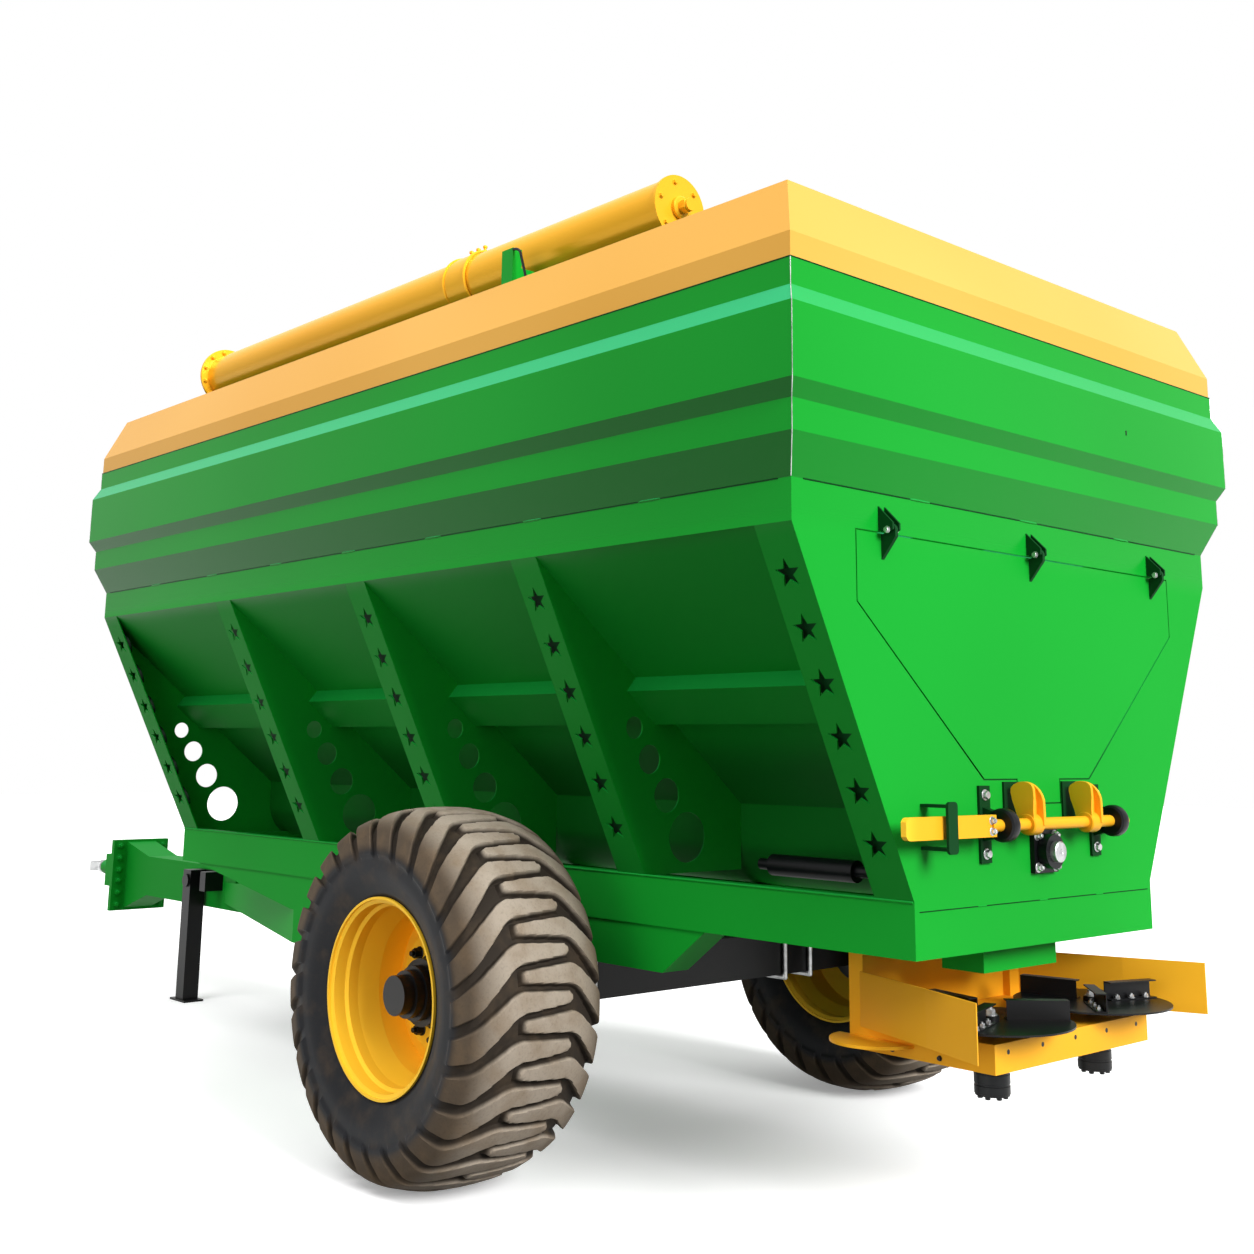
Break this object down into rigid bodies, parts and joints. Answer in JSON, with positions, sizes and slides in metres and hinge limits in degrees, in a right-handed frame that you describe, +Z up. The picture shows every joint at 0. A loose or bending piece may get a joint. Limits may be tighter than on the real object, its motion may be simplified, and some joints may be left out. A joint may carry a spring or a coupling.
{
  "type": "fertilizer spreader",
  "caption": "Trailed fertilizer spreader with an open V-shaped hopper, flotation wheels, a rear disc spreading unit, a rear hatch, a parking stand and a folding auger on top.",
  "frame": {"origin": "on the ground under the middle of the machine's bounding box", "axes": "+X forward along the drawbar to the tow eye, +Y to the machine's left side, +Z up"},
  "size_m": [8.1799, 3.09, 3.693],
  "materials": {
    "green_paint": "gloss green paint",
    "rim_yellow": "gloss amber yellow paint",
    "unit_yellow": "gloss orange-yellow paint",
    "black_paint": "satin black paint",
    "bare_steel": "bare or zinc-coated steel",
    "tyre": "worn rubber",
    "dark_pad": "dark satin paint"
  },
  "bodies": {
    "chassis": {"wall_left": "green_paint", "wall_right": "green_paint", "wall_rear": "green_paint", "wall_front": "green_paint", "rim_left": "rim_yellow", "rim_right": "rim_yellow", "rim_rear": "rim_yellow", "rim_front": "rim_yellow", "rear_plate": "green_paint", "front_plate": "green_paint", "v_walls": "green_paint", "waist_beams": "green_paint", "trough": "green_paint", "rib_flanges": "green_paint", "rib_webs": "green_paint", "wall_stiffeners": "green_paint", "rails": "green_paint", "end_beams": "green_paint", "cross_beams": "green_paint", "chassis_beams": "green_paint", "axle": "black_paint", "axle_clamps": "bare_steel", "drawbar": "green_paint", "drawbar_head": "green_paint", "drawbar_struts": "green_paint", "drawbar_saddles": "green_paint", "hitch_block": "green_paint", "tow_eye": "bare_steel", "stand_mount": "black_paint", "hatch_hinges": "dark_pad", "lock_bar": "unit_yellow", "lock_pads": "dark_pad", "lock_brackets": "dark_pad", "shaft_bearings": "black_paint", "unit_cross_rails": "unit_yellow", "unit_side_rails": "unit_yellow", "unit_posts": "unit_yellow", "back_plate": "unit_yellow", "disc_tray": "unit_yellow", "guards": "unit_yellow", "disc_motors": "black_paint", "chute": "green_paint", "gate_cylinder": "black_paint", "auger_leg": "unit_yellow", "leg_braces": "green_paint", "auger_cradle": "green_paint"},
    "left_wheel": {"tyre_left": "tyre", "wheel_rim_left": "unit_yellow", "hub_left": "black_paint"},
    "right_wheel": {"tyre_right": "tyre", "wheel_rim_right": "unit_yellow", "hub_right": "black_paint"},
    "left_spinner": {"disc_left": "black_paint"},
    "right_spinner": {"disc_right": "black_paint"},
    "conveyor_screw": {"screw": "bare_steel"},
    "rear_hatch": {"hatch": "green_paint", "hatch_lugs": "dark_pad"},
    "parking_stand": {"stand": "black_paint"},
    "folding_auger": {"auger_tube": "unit_yellow"}
  },
  "joints": [
    {"name": "left_wheel_spin", "type": "hinge", "parent": "chassis", "child": "left_wheel", "pos_m": [-2.04, 1.245, 0.667], "axis": [0, 1, 0], "continuous": true},
    {"name": "right_wheel_spin", "type": "hinge", "parent": "chassis", "child": "right_wheel", "pos_m": [-2.04, -1.245, 0.667], "axis": [0, 1, 0], "continuous": true},
    {"name": "left_disc_spin", "type": "hinge", "parent": "chassis", "child": "left_spinner", "pos_m": [-3.82, 0.31, 0.697], "axis": [0, 0, 1], "continuous": true},
    {"name": "right_disc_spin", "type": "hinge", "parent": "chassis", "child": "right_spinner", "pos_m": [-3.82, -0.31, 0.697], "axis": [0, 0, 1], "continuous": true},
    {"name": "screw_turn", "type": "hinge", "parent": "chassis", "child": "conveyor_screw", "pos_m": [-1.31, 0, 1.228], "axis": [1, 0, 0], "continuous": true},
    {"name": "hatch_swing", "type": "hinge", "parent": "chassis", "child": "rear_hatch", "pos_m": [-3.876, 0, 2.252], "axis": [0, 1, 0], "range_deg": [0, 85]},
    {"name": "stand_fold", "type": "hinge", "parent": "chassis", "child": "parking_stand", "pos_m": [2.18, 0.17, 0.72], "axis": [0, -1, 0], "range_deg": [0, 90]},
    {"name": "auger_fold", "type": "hinge", "parent": "chassis", "child": "folding_auger", "pos_m": [0.55, 0.8958, 3.371], "axis": [0, 0.9111, -0.4122], "range_deg": [0, 90]}
  ]
}
